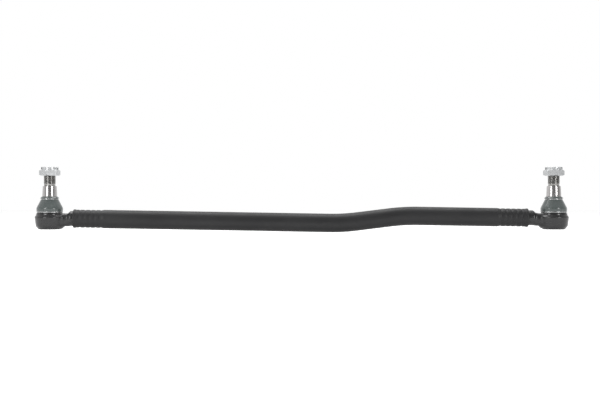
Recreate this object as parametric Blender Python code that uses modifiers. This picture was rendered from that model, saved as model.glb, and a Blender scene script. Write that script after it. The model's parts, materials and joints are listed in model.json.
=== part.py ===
"""A heavy-vehicle tie rod: a cranked steel tube with a ball joint crimped into each end.

Metres, +Z up. X runs along the rod and the ball studs point up. The origin is under the middle
of the rod, at the height of the tube's lowest point.
"""

import math

import bmesh
import bpy
from mathutils import Matrix, Vector

MM = 0.001

# Rod
BALL_SPACING = 1270 * MM
FIRST_BEND = 740 * MM  # from the left ball to the corner of the first bend
CRANK_LENGTH = 153 * MM  # from that corner to the next, measured level
CRANK_ANGLE = math.radians(7)
BEND_RADIUS = 520 * MM
TUBE_RADIUS = 23.25 * MM
TUBE_WALL = 4.5 * MM
MOUTH = {"left": 60.5 * MM, "right": 66 * MM}  # from each ball to its end of the tube

# Crimped ends of the tube
CRIMP_LENGTH = 75 * MM
CRIMP_DROP = 0.7 * MM  # how much smaller in radius the crimped length is
MOUTH_BEAD = 0.1 * MM  # how far the bead at the mouth stands over the tube
BEAD_LENGTH = 5 * MM
BEAD_EDGE = 1 * MM
FIRST_GROOVE = 16.1 * MM
GROOVE_PITCH = 13.2 * MM
GROOVE_WIDTH = 6.4 * MM
GROOVE_DEPTH = 1.1 * MM

# Stem that the tube is crimped on
SHOULDER_RADIUS = 19 * MM
SHOULDER_START = 54 * MM  # from the ball to where the neck has become round
SHOULDER_OVERLAP = 1.5 * MM  # how far the neck runs on inside the shoulder
SHOULDER_TUCK = 0.5 * MM  # how much smaller in radius it is there
NECK_HEIGHT = 33 * MM
NECK_WIDTH = 33 * MM
NECK_DROP = 1 * MM  # how much lower than the shoulder's the neck's lower side starts
NECK_SQUARENESS = 2.6  # 2 is an ellipse
NECK_BLEND = 9 * MM  # length over which the neck's top rises to the shoulder
NECK_FILLET = 6 * MM  # between the neck and the housing
FILLET_MIDDLE = 2 * MM  # how far off the housing the fillet's middle ring is
NECK_SINK = 3.5 * MM  # how far the neck reaches into the housing's wall
FILLET_CEILING = 1.2 * MM  # how far under the housing's top the fillet stays
FILLET_FLOOR = 0.6 * MM  # how far over its foot
FOOT_WEB = 3 * MM  # how much further out the fillet starts under the neck
SHANK_OVERRUN = 7 * MM  # how far the shank reaches past the crimped length
SHANK_CHAMFER = 2 * MM

# Ball and stud, as heights over the ball's centre
BALL_RADIUS = 22.5 * MM
BALL_FLAT = 19.8 * MM  # depth of the flat under the ball
NECK_RADIUS = 13.9 * MM
NECK_TOP = 26 * MM
FLARE_BEND = (0.35, 0.5)  # its bend, as shares of the flare's width and height
SEAL_RADIUS = 18 * MM  # the plain length that the boot's lip holds
SEAL_FOOT = 37 * MM
TAPER_FOOT = 54.6 * MM
TAPER_TOP = 80.6 * MM
TAPER_RATIO = 10  # 1 mm of diameter in 10 mm of length
TAPER_END_RADIUS = 17.4 * MM
UNDERCUT_RADIUS = 13.9 * MM
UNDERCUT_TOP = 86 * MM
THREAD_RADIUS = 15 * MM  # M30 x 1.5
STUD_TOP = 121.2 * MM
STUD_CHAMFER = 1.6 * MM
PIN_HOLE_RADIUS = 3 * MM
PIN_HOLE_DEPTH = 9 * MM  # from the stud's end to the middle of the split-pin hole

# Castle nut
NUT_RUN_ON = 14.6 * MM  # length of thread that the nut takes
NUT_FOOT = STUD_TOP - NUT_RUN_ON
NUT_ACROSS_FLATS = 46 * MM
NUT_HEX_HEIGHT = 15.4 * MM
NUT_HEIGHT = 22.2 * MM
NUT_FACE_RADIUS = 22.1 * MM  # of the round face that the chamfers leave
CROWN_RADIUS = 21.6 * MM
CROWN_CHAMFER = 0.8 * MM
SLOTS = 8
SLOT_WIDTH = 6.4 * MM
NUT_CHAMFER = math.radians(30)
NUT_TURN = {"left": math.radians(80.3), "right": math.radians(103.2)}  # of one corner and its slot

# Housing, as heights over the ball's centre
HOUSING_FOOT = -28 * MM
HOUSING_TOP = 13.6 * MM
TOP_RADIUS = 32.9 * MM
TOP_ROUNDING = 2.5 * MM
LAND_RADIUS = 33.6 * MM  # foot of the short upright land under the top
LAND_HEIGHT = 8.2 * MM
LAND_ROUNDING = 1.5 * MM
WIDEST_RADIUS = 37.3 * MM
WIDEST_HEIGHT = 3 * MM
WIDEST_ROUNDING = 4 * MM
LOW_RADIUS = 34.6 * MM  # where the drafted side turns in towards the rim
LOW_HEIGHT = -20 * MM
LOW_ROUNDING = 7 * MM
SPIGOT_RADIUS = 27.6 * MM  # the short collar that the boot sits on
SPIGOT_TOP = 17.2 * MM
LIP_RADIUS = 21.8 * MM  # the narrowest place of the mouth, over the upper seat
LIP_HEIGHT = 12.6 * MM
LIP_LAND = 0.8 * MM
MOUTH_FLARE = 3 * MM  # how much wider the mouth is at its top than at the lip
SEAT_CONE = 5.6 * MM  # height of the cone that the upper seat bears on
RIM_RADIUS = 27.9 * MM  # the flat rolled rim round the closing cap
RIM_OPENING = 25.4 * MM
RIM_THICKNESS = 2.3 * MM
RIM_HEIGHT = 1.5 * MM  # where the side meets the rim's rounded edge
RIM_DRAFT = 0.8 * MM

# Bearing seats, spring and cap
SEAT_WALL = 2.9 * MM
SEAT_PLAY = 0.7 * MM  # between the faceted ball and its seats
SEAT_SPLIT = 1.3 * MM  # half the gap between the two seats
SEAT_TOP_ANGLE = math.radians(61.8)  # from the stud's axis to the upper seat's edge
SEAT_FOOT = -18.4 * MM
SPRING_THICKNESS = 1.6 * MM
SPRING_OPENING = 14.6 * MM
CAP_THICKNESS = 3.1 * MM
CAP_MARGIN = 1.4 * MM  # how much wider than the bore the cap is
CAP_DISH = 1 * MM
CAP_DISH_RADIUS = 13 * MM

# Boot and its rings
BOOT_WALL = 3 * MM
BOOT_BULGE_RADIUS = 32.9 * MM
BOOT_BULGE_HEIGHT = 24.6 * MM
CONE_TOP_RADIUS = 21.9 * MM
COLLAR_RADIUS = 23.8 * MM  # the lip's flange over the upper ring
BOOT_LIP_CHAMFER = 4 * MM
BOOT_EASE = 1 * MM  # at the bulge's shoulder and the bead's foot
LIP_LENGTH = 6 * MM  # the lip's top, which widens inside to clear the taper
RING_HEIGHT = 2.4 * MM
RING_SECTION = 1.8 * MM
RING_PROUD = 0.3 * MM  # how far the lower ring stands out of the bead
LOWER_RING = 15.7 * MM
UPPER_RING = 48.3 * MM
UPPER_RING_RADIUS = 22.4 * MM

# Fits
GAP = 0.3 * MM
CLEARANCE = 0.4 * MM

# Facets
SIDES = 18
INNER_SIDES = 16
SHANK_SIDES = 14
NECK_STEPS = 2
BEND_STEPS = 2
NUT_SIDES = 18
PIN_HOLE_SIDES = 8
BALL_STEP = math.radians(16)
ROUNDING_STEP = math.radians(46)
MERGE = 0.01 * MM
SHARP = math.radians(38)
OVERCUT = 2 * MM


def collection(name):
    """A new collection of that name in the scene."""
    made = bpy.data.collections.new(name)
    bpy.context.scene.collection.children.link(made)
    return made


def material(name, colour, roughness, metallic):
    """A plain material of one colour."""
    made = bpy.data.materials.new(name)
    made.use_nodes = True
    shader = made.node_tree.nodes["Principled BSDF"]
    shader.inputs["Base Color"].default_value = (*colour, 1)
    shader.inputs["Roughness"].default_value = roughness
    shader.inputs["Metallic"].default_value = metallic
    made.diffuse_color = (*colour, 1)
    made.roughness = roughness
    made.metallic = metallic
    return made


def shading_group():
    """A node group that shades faces smooth and keeps edges over the sharp angle sharp."""
    group = bpy.data.node_groups.new("shade_by_angle", "GeometryNodeTree")
    group.interface.new_socket("Geometry", in_out="INPUT", socket_type="NodeSocketGeometry")
    group.interface.new_socket("Geometry", in_out="OUTPUT", socket_type="NodeSocketGeometry")
    entry = group.nodes.new("NodeGroupInput")
    leave = group.nodes.new("NodeGroupOutput")
    faces = group.nodes.new("GeometryNodeSetShadeSmooth")
    edges = group.nodes.new("GeometryNodeSetShadeSmooth")
    edges.domain = "EDGE"
    edges.inputs["Shade Smooth"].default_value = False
    angle = group.nodes.new("GeometryNodeInputMeshEdgeAngle")
    over = group.nodes.new("FunctionNodeCompare")
    over.operation = "GREATER_THAN"
    over.inputs["B"].default_value = SHARP
    group.links.new(entry.outputs["Geometry"], faces.inputs["Geometry"])
    group.links.new(faces.outputs["Geometry"], edges.inputs["Geometry"])
    group.links.new(angle.outputs["Unsigned Angle"], over.inputs["A"])
    group.links.new(over.outputs["Result"], edges.inputs["Selection"])
    group.links.new(edges.outputs["Geometry"], leave.inputs["Geometry"])
    return group


def place(obj, parent, look, name):
    """Names a finished piece, hangs it on its parent and gives it its material and shading."""
    obj.name = name
    obj.data.name = name
    obj.parent = parent
    obj.data.materials.clear()
    obj.data.materials.append(look)
    shade = obj.modifiers.new("Shade by angle", "NODES")
    shade.node_group = SHADING
    return obj


def helper(obj, parent):
    """Makes an object a cutter or tool that is not part of the model."""
    PARTS.objects.unlink(obj)
    TOOLS.objects.link(obj)
    obj.parent = parent
    obj.hide_render = True
    obj.display_type = "WIRE"
    return obj


def add_mesh(name, mesh):
    """An object with that mesh in the parts' collection."""
    obj = bpy.data.objects.new(name, mesh)
    PARTS.objects.link(obj)
    return obj


def turned(name, profile, sides):
    """A solid of revolution about Z. Its profile of (radius, height) runs down the outer side."""
    mesh = bpy.data.meshes.new(name)
    edges = [(i, i + 1) for i in range(len(profile) - 1)]
    if profile[-1][0] > 0:
        edges.append((len(profile) - 1, 0))
    mesh.from_pydata([(radius, 0, height) for radius, height in profile], edges, [])
    obj = add_mesh(name, mesh)
    turn = obj.modifiers.new("Turn", "SCREW")
    turn.steps = sides
    turn.render_steps = sides
    turn.use_merge_vertices = True
    turn.merge_threshold = MERGE
    return obj


def combine(obj, other, operation):
    """Adds a Boolean with another object."""
    boolean = obj.modifiers.new(f"{operation.title()} {other.name}", "BOOLEAN")
    boolean.operation = operation
    boolean.solver = "EXACT"
    boolean.object = other


def arc(radius, start, end, step):
    """Points (radius, height) of a circle about the origin, by angle from the top."""
    count = max(1, math.ceil(abs(end - start) / step))
    angles = [start + (end - start) * i / count for i in range(count + 1)]
    return [(radius * math.sin(a), radius * math.cos(a)) for a in angles]


def rounded(corners):
    """An outline through corners of (radius, height, rounding), with each rounding made an arc."""
    points = [corners[0][:2]]
    for last, (x, z, rounding), following in zip(corners, corners[1:], corners[2:]):
        here = Vector((x, z))
        if rounding == 0:
            points.append((x, z))
            continue
        back, ahead = Vector(last[:2]) - here, Vector(following[:2]) - here
        angle = back.angle(ahead)
        reach = min(rounding / math.tan(angle / 2), 0.48 * back.length, 0.48 * ahead.length)
        radius = reach * math.tan(angle / 2)
        back.normalize()
        ahead.normalize()
        centre = here + (back + ahead).normalized() * radius / math.sin(angle / 2)
        start = here + back * reach - centre
        sweep = start.angle_signed(here + ahead * reach - centre)
        steps = max(1, math.ceil(abs(sweep) / ROUNDING_STEP))
        for step in range(steps + 1):
            spoke = start.copy()
            spoke.rotate(Matrix.Rotation(-sweep * step / steps, 2))
            points.append(tuple(centre + spoke))
    return points + [corners[-1][:2]]


# Centreline of the rod


class Centreline:
    """Straight, bend, crank, bend and straight, from the left ball to the right one."""

    def __init__(self):
        rise = CRANK_LENGTH * math.tan(CRANK_ANGLE)
        self.slope = -math.atan2(rise, BALL_SPACING - CRANK_LENGTH)
        turn = CRANK_ANGLE - self.slope
        tangent = BEND_RADIUS * math.tan(turn / 2)
        second_bend = FIRST_BEND + CRANK_LENGTH
        first = FIRST_BEND / math.cos(self.slope) - tangent
        crank = CRANK_LENGTH / math.cos(CRANK_ANGLE) - 2 * tangent
        last = (BALL_SPACING - second_bend) / math.cos(self.slope) - tangent
        bend = BEND_RADIUS * turn
        self.marks = [0, first, first + bend, first + bend + crank, first + 2 * bend + crank]
        self.length = self.marks[-1] + last
        self.curves = [0, 1 / BEND_RADIUS, 0, -1 / BEND_RADIUS, 0]

    def at(self, station):
        """Place on the rod, and the slope there, at a distance along it from the left ball."""
        x, z, slope = 0, 0, self.slope
        ends = self.marks[1:] + [self.length]
        for start, end, curve in zip(self.marks, ends, self.curves):
            run = max(0, min(station, end) - start)
            turned_by = run * curve
            chord = run
            if curve and run:
                chord = 2 * math.sin(abs(turned_by) / 2) / abs(curve)
            x += chord * math.cos(slope + turned_by / 2)
            z += chord * math.sin(slope + turned_by / 2)
            slope += turned_by
        return x, z, slope

    def bend_stations(self, count):
        """Even stations round both bends, ends included."""
        first, second = self.marks[1:3], self.marks[3:5]
        return [a + (b - a) * i / count for a, b in (first, second) for i in range(count + 1)]


def groove_middles():
    """Distance from the mouth to each ring groove, as many as the crimped length holds."""
    room = CRIMP_LENGTH + CRIMP_DROP - GROOVE_PITCH / 2 - FIRST_GROOVE
    return [FIRST_GROOVE + number * GROOVE_PITCH for number in range(int(room / GROOVE_PITCH) + 1)]


def crimp_steps():
    """Distance from the mouth and change of radius, down the crimped end of the tube."""
    steps = [(BEAD_EDGE, MOUTH_BEAD), (BEAD_LENGTH, MOUTH_BEAD)]
    steps.append((BEAD_LENGTH + 2 * CRIMP_DROP + MOUTH_BEAD, -CRIMP_DROP))
    for middle in groove_middles():
        steps.append((middle - GROOVE_WIDTH / 2, -CRIMP_DROP))
        steps.append((middle, -CRIMP_DROP - GROOVE_DEPTH))
        steps.append((middle + GROOVE_WIDTH / 2, -CRIMP_DROP))
    return steps + [(CRIMP_LENGTH - CRIMP_DROP, -CRIMP_DROP), (CRIMP_LENGTH + CRIMP_DROP, 0)]


def bore_steps():
    """The same for the bore, which follows the grooves in plainer steps."""
    steps = [(0, -CRIMP_DROP), (FIRST_GROOVE - GROOVE_PITCH / 2, -CRIMP_DROP)]
    for middle in groove_middles():
        steps.append((middle, -CRIMP_DROP - GROOVE_DEPTH))
        steps.append((middle + GROOVE_PITCH / 2, -CRIMP_DROP))
    return steps + [(CRIMP_LENGTH + CRIMP_DROP, 0)]


def tube_profile(line):
    """The straight tube's closed section, as (radius, distance from the left ball)."""
    start, end = MOUTH["left"], line.length - MOUTH["right"]
    outer = [(start, -CRIMP_DROP / 2)]
    outer += [(start + s, change) for s, change in crimp_steps()]
    outer += [(s, 0) for s in line.bend_stations(BEND_STEPS)]
    outer += [(end - s, change) for s, change in reversed(crimp_steps())]
    outer.append((end, -CRIMP_DROP / 2))
    inner = [(start + s, change) for s, change in bore_steps()]
    inner += [(s, 0) for s in line.bend_stations(BEND_STEPS)]
    inner += [(end - s, change) for s, change in reversed(bore_steps())]
    bore = TUBE_RADIUS - TUBE_WALL
    down_the_outside = [(TUBE_RADIUS + change, s) for s, change in reversed(outer)]
    return down_the_outside + [(bore + change, s) for s, change in inner]


def make_tube(line, parent):
    """The tube, turned straight and then bent along the centreline."""
    obj = turned("rod_tube", tube_profile(line), SIDES)
    bpy.context.view_layer.update()
    straight = obj.evaluated_get(bpy.context.evaluated_depsgraph_get())
    obj.data = bpy.data.meshes.new_from_object(straight)
    obj.modifiers.clear()
    for vertex in obj.data.vertices:
        x, z, slope = line.at(vertex.co.z)
        down = vertex.co.x
        vertex.co = (x + down * math.sin(slope), vertex.co.y, z - down * math.cos(slope))
    return place(obj, parent, PAINT, "rod_tube")


# Housing with its neck and stem


def shank_profile(reach):
    """The grooved shank from its inner end to the shoulder, about the stem's own axis."""
    bore = TUBE_RADIUS - TUBE_WALL - CLEARANCE
    tip = reach + CRIMP_LENGTH + SHANK_OVERRUN
    land = bore - CRIMP_DROP
    profile = [(0, tip), (land - SHANK_CHAMFER, tip), (land, tip - SHANK_CHAMFER)]
    profile += [(bore + change, reach + s) for s, change in reversed(bore_steps()[1:-1])]
    profile += [(land, reach - GAP), (SHOULDER_RADIUS, reach - GAP)]
    return profile + [(SHOULDER_RADIUS, SHOULDER_START), (0, SHOULDER_START)]


def neck_section(x, slope):
    """Middle height, height, width and squareness of the neck at a distance from the ball."""
    share = min(1, max(0, (x - SHOULDER_START) / NECK_BLEND + 1))
    ease = share * share * (3 - 2 * share)
    end = SHOULDER_RADIUS - SHOULDER_TUCK
    low = x * math.tan(slope) - end - (1 - ease) * NECK_DROP
    height = NECK_HEIGHT + ease * (2 * end - NECK_HEIGHT)
    width = NECK_WIDTH + ease * (2 * end - NECK_WIDTH)
    return low + height / 2, height, width, NECK_SQUARENESS + ease * (2 - NECK_SQUARENESS)


def section_points(middle, height, width, squareness):
    """Points (across, height) round one section of the neck."""
    points = []
    for i in range(SIDES):
        angle = 2 * math.pi * i / SIDES
        y = abs(math.cos(angle)) ** (2 / squareness) * math.copysign(width / 2, math.cos(angle))
        z = abs(math.sin(angle)) ** (2 / squareness) * math.copysign(height / 2, math.sin(angle))
        points.append((y, middle + z))
    return points


def housing_radius_at(height):
    """The housing's outer radius at a height over the ball's centre."""
    outline = housing_profile()
    for (r, z), (next_r, next_z) in zip(outline, outline[1:]):
        if next_z <= height < z:
            return r + (next_r - r) * (z - height) / (z - next_z)
    return RIM_RADIUS


def fillet_ring(depth, section):
    """A ring of the neck that far off the housing's side, spread by the fillet there."""
    inward = NECK_FILLET - max(0, depth)
    spread = NECK_FILLET - math.sqrt(NECK_FILLET**2 - inward**2)
    low, high = HOUSING_FOOT + FILLET_FLOOR, HOUSING_TOP - FILLET_CEILING
    points = []
    for y, z in section_points(*section):
        outward = Vector((y, z - section[0])).normalized()
        y, z = y + outward.x * spread, max(low, min(z + outward.y * spread, high))
        x = math.sqrt(housing_radius_at(z) ** 2 - y**2) + depth
        if depth >= 0:
            x += FOOT_WEB * max(0, -outward.y) ** 2 * inward / NECK_FILLET
        points.append((x, y, z))
    return points


def neck_mesh(slope):
    """The forged neck, a loft from its fillet on the housing to the round shoulder."""
    start = WIDEST_RADIUS + NECK_FILLET
    end = SHOULDER_START + SHOULDER_OVERLAP
    root = neck_section(start, slope)
    rings = [fillet_ring(depth, root) for depth in (-NECK_SINK, 0, FILLET_MIDDLE, NECK_FILLET)]
    for number in range(1, NECK_STEPS + 1):
        x = start + (end - start) * number / NECK_STEPS
        rings.append([(x, y, z) for y, z in section_points(*neck_section(x, slope))])
    model = bmesh.new()
    loops = [[model.verts.new(point) for point in ring] for ring in rings]
    for near, far in zip(loops, loops[1:]):
        for i in range(SIDES):
            j = (i + 1) % SIDES
            model.faces.new((near[i], near[j], far[j], far[i]))
    model.faces.new(reversed(loops[0]))
    model.faces.new(loops[-1])
    bmesh.ops.recalc_face_normals(model, faces=model.faces)
    mesh = bpy.data.meshes.new("neck")
    model.to_mesh(mesh)
    model.free()
    return mesh


def cap_radius():
    """The closing cap is wider than the bore, and rests on the step above it."""
    return bore_radius() + CAP_MARGIN


def bore_radius():
    """The housing's bore, which the seats fill."""
    return BALL_RADIUS + SEAT_PLAY + SEAT_WALL + CLEARANCE


def cap_top():
    """The step in the housing that the closing cap rests on."""
    return HOUSING_FOOT + RIM_THICKNESS + GAP + CAP_THICKNESS


def housing_profile():
    """The forging's outer form, down from the spigot to the rolled rim."""
    corners = [
        (0, SPIGOT_TOP, 0),
        (SPIGOT_RADIUS, SPIGOT_TOP, 0),
        (SPIGOT_RADIUS, HOUSING_TOP, 0),
        (TOP_RADIUS, HOUSING_TOP, TOP_ROUNDING),
        (LAND_RADIUS, LAND_HEIGHT, LAND_ROUNDING),
        (WIDEST_RADIUS, WIDEST_HEIGHT, WIDEST_ROUNDING),
        (LOW_RADIUS, LOW_HEIGHT, LOW_ROUNDING),
        (RIM_RADIUS + RIM_DRAFT, HOUSING_FOOT + RIM_HEIGHT, 0),
        (RIM_RADIUS, HOUSING_FOOT, 0),
        (0, HOUSING_FOOT, 0),
    ]
    return rounded(corners)


def cavity_profile():
    """What is bored out: the flared mouth, the lip, the seats' cone, the bore and the cap's recess."""
    bore = bore_radius()
    recess = cap_radius() + CLEARANCE
    lip_foot = LIP_HEIGHT - LIP_LAND
    flare = MOUTH_FLARE / (SPIGOT_TOP - LIP_HEIGHT)
    return [
        (0, SPIGOT_TOP + OVERCUT),
        (LIP_RADIUS + MOUTH_FLARE + flare * OVERCUT, SPIGOT_TOP + OVERCUT),
        (LIP_RADIUS, LIP_HEIGHT),
        (LIP_RADIUS, lip_foot),
        (bore, lip_foot - SEAT_CONE),
        (bore, cap_top() + GAP),
        (recess, cap_top() + GAP),
        (recess, HOUSING_FOOT + RIM_THICKNESS),
        (RIM_OPENING, HOUSING_FOOT + RIM_THICKNESS),
        (RIM_OPENING, HOUSING_FOOT - OVERCUT),
        (0, HOUSING_FOOT - OVERCUT),
    ]


def make_housing(side, joint, slope):
    """The housing forging: its body, neck and shank joined, and its inside bored out."""
    reach = MOUTH[side]
    body = turned("housing_body", housing_profile(), SIDES)
    neck = helper(add_mesh(f"{side}_neck", neck_mesh(slope)), joint)
    shank = helper(turned(f"{side}_shank", shank_profile(reach), SHANK_SIDES), joint)
    shank.rotation_euler = (0, math.pi / 2 - slope, 0)
    cavity = helper(turned(f"{side}_cavity", cavity_profile(), INNER_SIDES), joint)
    combine(body, neck, "UNION")
    combine(body, shank, "UNION")
    combine(body, cavity, "DIFFERENCE")
    return place(body, joint, PAINT, f"{side}_ball_housing")


# Ball stud and castle nut


def stud_profile():
    """The stud from its threaded end down to the flat under the ball."""
    neck_angle = math.asin(NECK_RADIUS / BALL_RADIUS)
    flat_angle = math.acos(-BALL_FLAT / BALL_RADIUS)
    taper_foot_radius = TAPER_END_RADIUS + (TAPER_TOP - TAPER_FOOT) / (2 * TAPER_RATIO)
    thread_foot = UNDERCUT_TOP + THREAD_RADIUS - UNDERCUT_RADIUS
    undercut_foot = TAPER_TOP + TAPER_END_RADIUS - UNDERCUT_RADIUS - 2 * STUD_CHAMFER
    flare_radius = NECK_RADIUS + FLARE_BEND[0] * (SEAL_RADIUS - NECK_RADIUS)
    flare_height = NECK_TOP + FLARE_BEND[1] * (SEAL_FOOT - NECK_TOP)
    profile = [
        (0, STUD_TOP),
        (THREAD_RADIUS - STUD_CHAMFER, STUD_TOP),
        (THREAD_RADIUS, STUD_TOP - STUD_CHAMFER),
        (THREAD_RADIUS, thread_foot),
        (UNDERCUT_RADIUS, UNDERCUT_TOP),
        (UNDERCUT_RADIUS, undercut_foot),
        (TAPER_END_RADIUS - STUD_CHAMFER / 2, undercut_foot),
        (TAPER_END_RADIUS, TAPER_TOP),
        (taper_foot_radius, TAPER_FOOT),
        (SEAL_RADIUS, TAPER_FOOT - taper_foot_radius + SEAL_RADIUS),
        (SEAL_RADIUS, SEAL_FOOT),
        (flare_radius, flare_height),
        (NECK_RADIUS, NECK_TOP),
    ]
    return profile + arc(BALL_RADIUS, neck_angle, flat_angle, BALL_STEP) + [(0, -BALL_FLAT)]


def make_stud(side, joint):
    """The ball stud, with the split-pin hole in line with a pair of the nut's slots."""
    stud = turned("stud", stud_profile(), SIDES)
    bpy.ops.mesh.primitive_cylinder_add(
        vertices=PIN_HOLE_SIDES,
        radius=PIN_HOLE_RADIUS,
        depth=2 * THREAD_RADIUS + 2 * OVERCUT,
        location=(0, 0, STUD_TOP - PIN_HOLE_DEPTH),
        rotation=(math.pi / 2, 0, 0),
    )
    hole = adopt(f"{side}_pin_hole")
    hole.rotation_euler.z = NUT_TURN[side]
    combine(stud, helper(hole, joint), "DIFFERENCE")
    return place(stud, joint, GROUND_STEEL, f"{side}_ball_stud")


def adopt(name):
    """Takes the primitive just added into the parts' collection under a new name."""
    obj = bpy.context.active_object
    obj.name = name
    for holder in list(obj.users_collection):
        holder.objects.unlink(obj)
    PARTS.objects.link(obj)
    return obj


def nut_blank_profile():
    """What the hexagon is turned down to: both its faces chamfered, and the crown above."""
    corner = NUT_ACROSS_FLATS / 2 / math.cos(math.pi / 6)
    fall = (corner - NUT_FACE_RADIUS + OVERCUT) * math.tan(NUT_CHAMFER)
    shoulder = NUT_FOOT + NUT_HEX_HEIGHT
    top = NUT_FOOT + NUT_HEIGHT
    return [
        (0, top),
        (CROWN_RADIUS - CROWN_CHAMFER, top),
        (CROWN_RADIUS, top - CROWN_CHAMFER),
        (CROWN_RADIUS, shoulder),
        (NUT_FACE_RADIUS, shoulder),
        (corner + OVERCUT, shoulder - fall),
        (corner + OVERCUT, NUT_FOOT + fall),
        (NUT_FACE_RADIUS, NUT_FOOT),
        (0, NUT_FOOT),
    ]


def nut_bore_profile():
    """The nut's threaded hole, countersunk at the foot."""
    bore = THREAD_RADIUS + GAP
    return [
        (0, NUT_FOOT + NUT_HEIGHT + OVERCUT),
        (bore, NUT_FOOT + NUT_HEIGHT + OVERCUT),
        (bore, NUT_FOOT + STUD_CHAMFER),
        (bore + STUD_CHAMFER + OVERCUT, NUT_FOOT - OVERCUT),
        (0, NUT_FOOT - OVERCUT),
    ]


def slot_mesh():
    """One pair of facing slots: a bar across the crown."""
    slot_foot = NUT_FOOT + NUT_HEX_HEIGHT
    height = NUT_HEIGHT - NUT_HEX_HEIGHT + OVERCUT
    model = bmesh.new()
    bmesh.ops.create_cube(model, size=1)
    size = (2 * CROWN_RADIUS + 2 * OVERCUT, SLOT_WIDTH, height)
    bmesh.ops.scale(model, vec=size, verts=model.verts)
    bmesh.ops.translate(model, vec=(0, 0, slot_foot + height / 2), verts=model.verts)
    mesh = bpy.data.meshes.new("slot")
    model.to_mesh(mesh)
    model.free()
    return mesh


def make_nut(side, joint):
    """The castle nut: a hexagon bar turned, bored and slotted."""
    bpy.ops.mesh.primitive_cylinder_add(
        vertices=6,
        radius=NUT_ACROSS_FLATS / 2 / math.cos(math.pi / 6),
        depth=NUT_HEIGHT,
        location=(0, 0, NUT_FOOT + NUT_HEIGHT / 2),
    )
    nut = adopt("nut")
    nut.data.transform(Matrix.Translation((0, 0, nut.location.z)))
    nut.location.z = 0
    nut.rotation_euler.z = NUT_TURN[side]
    tools = [(turned(f"{side}_nut_blank", nut_blank_profile(), NUT_SIDES), "INTERSECT")]
    tools.append((turned(f"{side}_nut_bore", nut_bore_profile(), NUT_SIDES), "DIFFERENCE"))
    for number in range(SLOTS // 2):
        slot = add_mesh(f"{side}_slot_{number + 1}", slot_mesh())
        slot.rotation_euler.z = NUT_TURN[side] + 2 * math.pi * number / SLOTS
        tools.append((slot, "DIFFERENCE"))
    for tool, operation in tools:
        combine(nut, helper(tool, joint), operation)
    return place(nut, joint, ZINC, f"{side}_castle_nut")


# Bearing seats, spring and cap


def make_seats(side, joint):
    """The two plastic halves round the ball."""
    ball = BALL_RADIUS + SEAT_PLAY
    outer = ball + SEAT_WALL
    lip_foot = LIP_HEIGHT - LIP_LAND
    slant = (bore_radius() - LIP_RADIUS) / SEAT_CONE
    top = ball * math.cos(SEAT_TOP_ANGLE)
    cone_foot = lip_foot - SEAT_CONE - GAP
    top_radius = outer - (top - cone_foot) * slant
    split_angle = math.acos(SEAT_SPLIT / ball)
    foot_angle = math.acos(SEAT_FOOT / ball)
    upper = [(top_radius, top), (outer, cone_foot), (outer, SEAT_SPLIT)]
    upper += arc(ball, split_angle, SEAT_TOP_ANGLE, BALL_STEP)
    lower = [(outer, -SEAT_SPLIT), (outer, SEAT_FOOT)]
    lower += arc(ball, foot_angle, math.pi - split_angle, BALL_STEP)
    place(turned("seat", upper, INNER_SIDES), joint, BEARING_PLASTIC, f"{side}_upper_seat")
    place(turned("seat", lower, INNER_SIDES), joint, BEARING_PLASTIC, f"{side}_lower_seat")


def make_spring(side, joint):
    """The disc spring, its outer edge on the cap and its inner edge under the lower seat."""
    outer = bore_radius() - 2 * CLEARANCE
    foot = cap_top() + GAP
    top = SEAT_FOOT - GAP
    profile = [
        (outer, foot + SPRING_THICKNESS),
        (outer, foot),
        (SPRING_OPENING, top - SPRING_THICKNESS),
        (SPRING_OPENING, top),
    ]
    spring = turned("spring", profile, INNER_SIDES)
    return place(spring, joint, SPRING_STEEL, f"{side}_preload_spring")


def make_cap(side, joint):
    """The closing cap, dished so that the ball swings clear of it."""
    top, foot = cap_top(), cap_top() - CAP_THICKNESS
    slope_end = CAP_DISH_RADIUS + 4 * CAP_DISH
    profile = [
        (0, top - CAP_DISH),
        (CAP_DISH_RADIUS, top - CAP_DISH),
        (slope_end, top),
        (cap_radius(), top),
        (cap_radius(), foot),
        (slope_end, foot),
        (CAP_DISH_RADIUS, foot - CAP_DISH),
        (0, foot - CAP_DISH),
    ]
    cap = turned("cap", profile, INNER_SIDES)
    return place(cap, joint, PAINT, f"{side}_closing_cap")


# Boot and rings


def ring_profile(outer, height):
    """A flat ring's section."""
    top, foot = height + RING_HEIGHT / 2, height - RING_HEIGHT / 2
    return [(outer, top), (outer, foot), (outer - RING_SECTION, foot), (outer - RING_SECTION, top)]


def groove(ring_radius, height):
    """The floor of the groove that a ring lies in, down the boot's outer side."""
    top = height + RING_HEIGHT / 2 + GAP
    foot = height - RING_HEIGHT / 2 - GAP
    floor = ring_radius - RING_SECTION - GAP
    return [(floor, top), (floor, foot)]


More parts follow.
